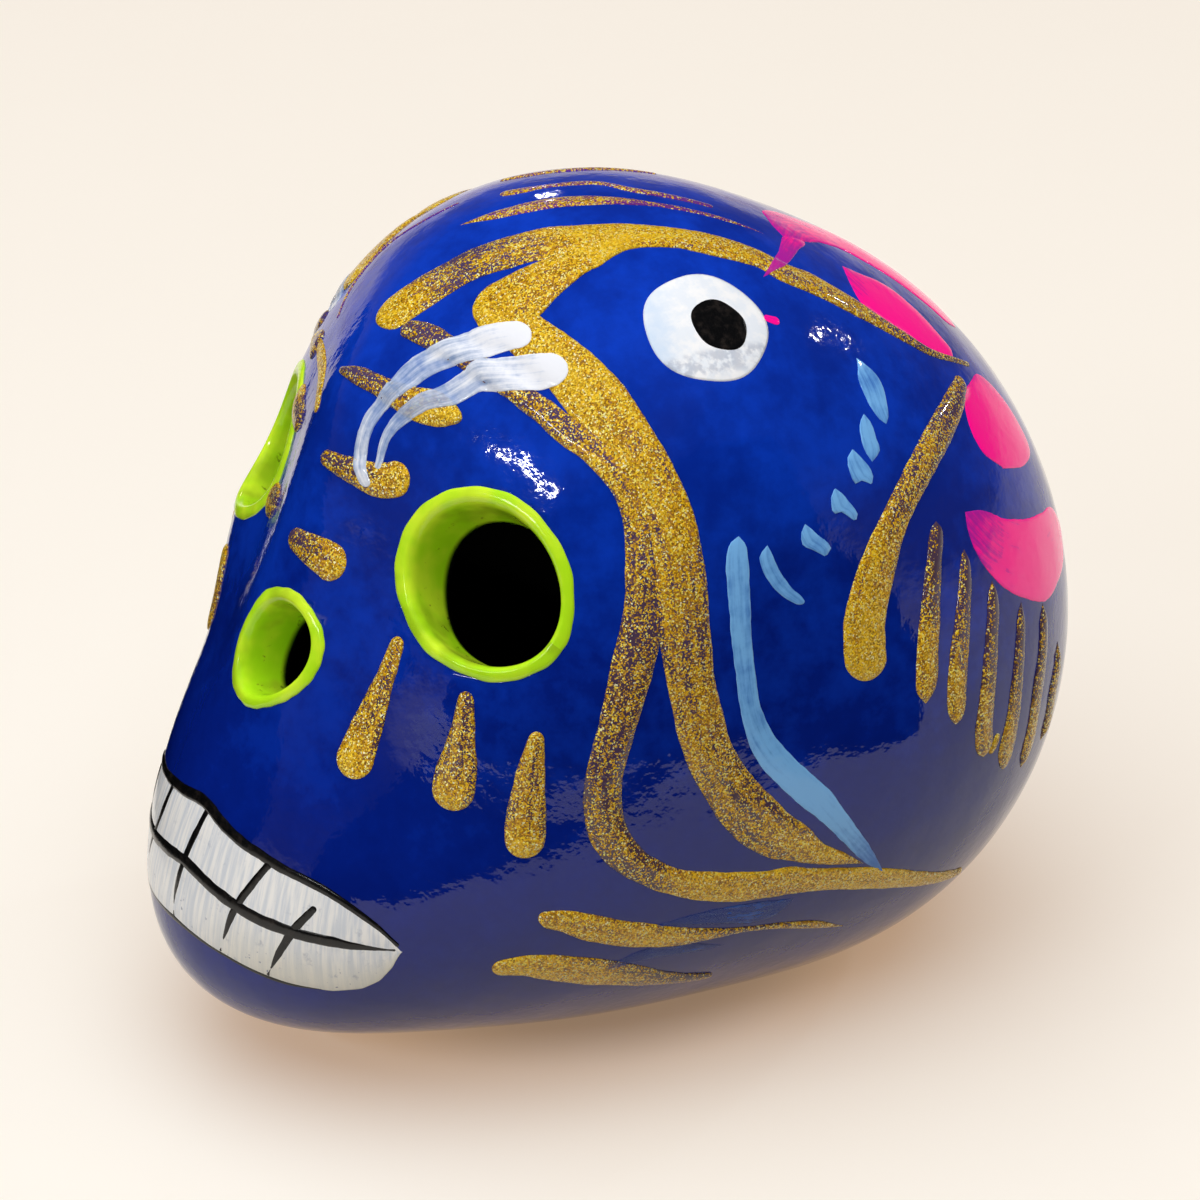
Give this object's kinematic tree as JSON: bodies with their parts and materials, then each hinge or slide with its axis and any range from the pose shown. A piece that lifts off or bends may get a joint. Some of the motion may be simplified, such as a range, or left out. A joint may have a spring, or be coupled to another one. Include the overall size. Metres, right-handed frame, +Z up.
{
  "type": "sugar skull",
  "caption": "Hand-sized hollow clay skull, painted deep blue under gloss varnish, with lime sockets, ruled white teeth and gold glitter strokes; stands on its flat underside.",
  "frame": {"origin": "on the table, on the flat underside of the skull, in its plane of symmetry", "axes": "+Z up; the face looks along -Y; the skull's own left side is +X"},
  "size_m": [0.0867, 0.1105, 0.0934],
  "materials": {
    "clay_blue": "deep ultramarine paint under gloss varnish on fired clay",
    "lime_enamel": "glossy lime-green enamel paint",
    "tooth_white": "white paint with faint brush marks under varnish",
    "line_black": "glossy black brush line",
    "glitter_gold": "clear glue bead full of gold glitter flakes",
    "milk_white": "thin milky white brush paint",
    "sky_blue": "thin light-blue brush paint",
    "petal_pink": "hot-pink brush paint under varnish"
  },
  "bodies": {
    "root": {"face_half": "clay_blue", "back_half": "clay_blue", "left_eye_rim": "lime_enamel", "right_eye_rim": "lime_enamel", "nose_rim": "lime_enamel", "tooth_lines": "line_black", "tooth_1": "tooth_white", "tooth_2": "tooth_white", "tooth_3": "tooth_white", "tooth_4": "tooth_white", "tooth_5": "tooth_white", "tooth_6": "tooth_white", "tooth_7": "tooth_white", "tooth_8": "tooth_white", "tooth_9": "tooth_white", "tooth_10": "tooth_white", "tooth_11": "tooth_white", "tooth_12": "tooth_white", "left_crown_sweep": "glitter_gold", "left_brow_sweep": "glitter_gold", "left_brow_upper": "glitter_gold", "left_brow_lower": "glitter_gold", "left_nose_stroke": "glitter_gold", "left_tear_inner": "glitter_gold", "left_tear_middle": "glitter_gold", "left_tear_outer": "glitter_gold", "left_jaw_upper": "glitter_gold", "left_jaw_lower": "glitter_gold", "left_neck_stroke": "glitter_gold", "left_drip_front": "glitter_gold", "left_drip_middle": "glitter_gold", "left_drip_back": "glitter_gold", "left_milk_outer": "milk_white", "left_milk_inner": "milk_white", "left_sky_stroke": "sky_blue", "left_temple_ring": "milk_white", "left_temple_dot": "line_black", "right_crown_sweep": "glitter_gold", "right_brow_sweep": "glitter_gold", "right_brow_upper": "glitter_gold", "right_brow_lower": "glitter_gold", "right_nose_stroke": "glitter_gold", "right_tear_inner": "glitter_gold", "right_tear_middle": "glitter_gold", "right_tear_outer": "glitter_gold", "right_jaw_upper": "glitter_gold", "right_jaw_lower": "glitter_gold", "right_neck_stroke": "glitter_gold", "right_drip_front": "glitter_gold", "right_drip_middle": "glitter_gold", "right_drip_back": "glitter_gold", "right_milk_outer": "milk_white", "right_milk_inner": "milk_white", "right_sky_stroke": "sky_blue", "right_temple_ring": "milk_white", "right_temple_dot": "line_black", "petal_upper": "petal_pink", "petal_middle": "petal_pink", "petal_lower": "petal_pink", "petal_band": "petal_pink"}
  },
  "joints": []
}
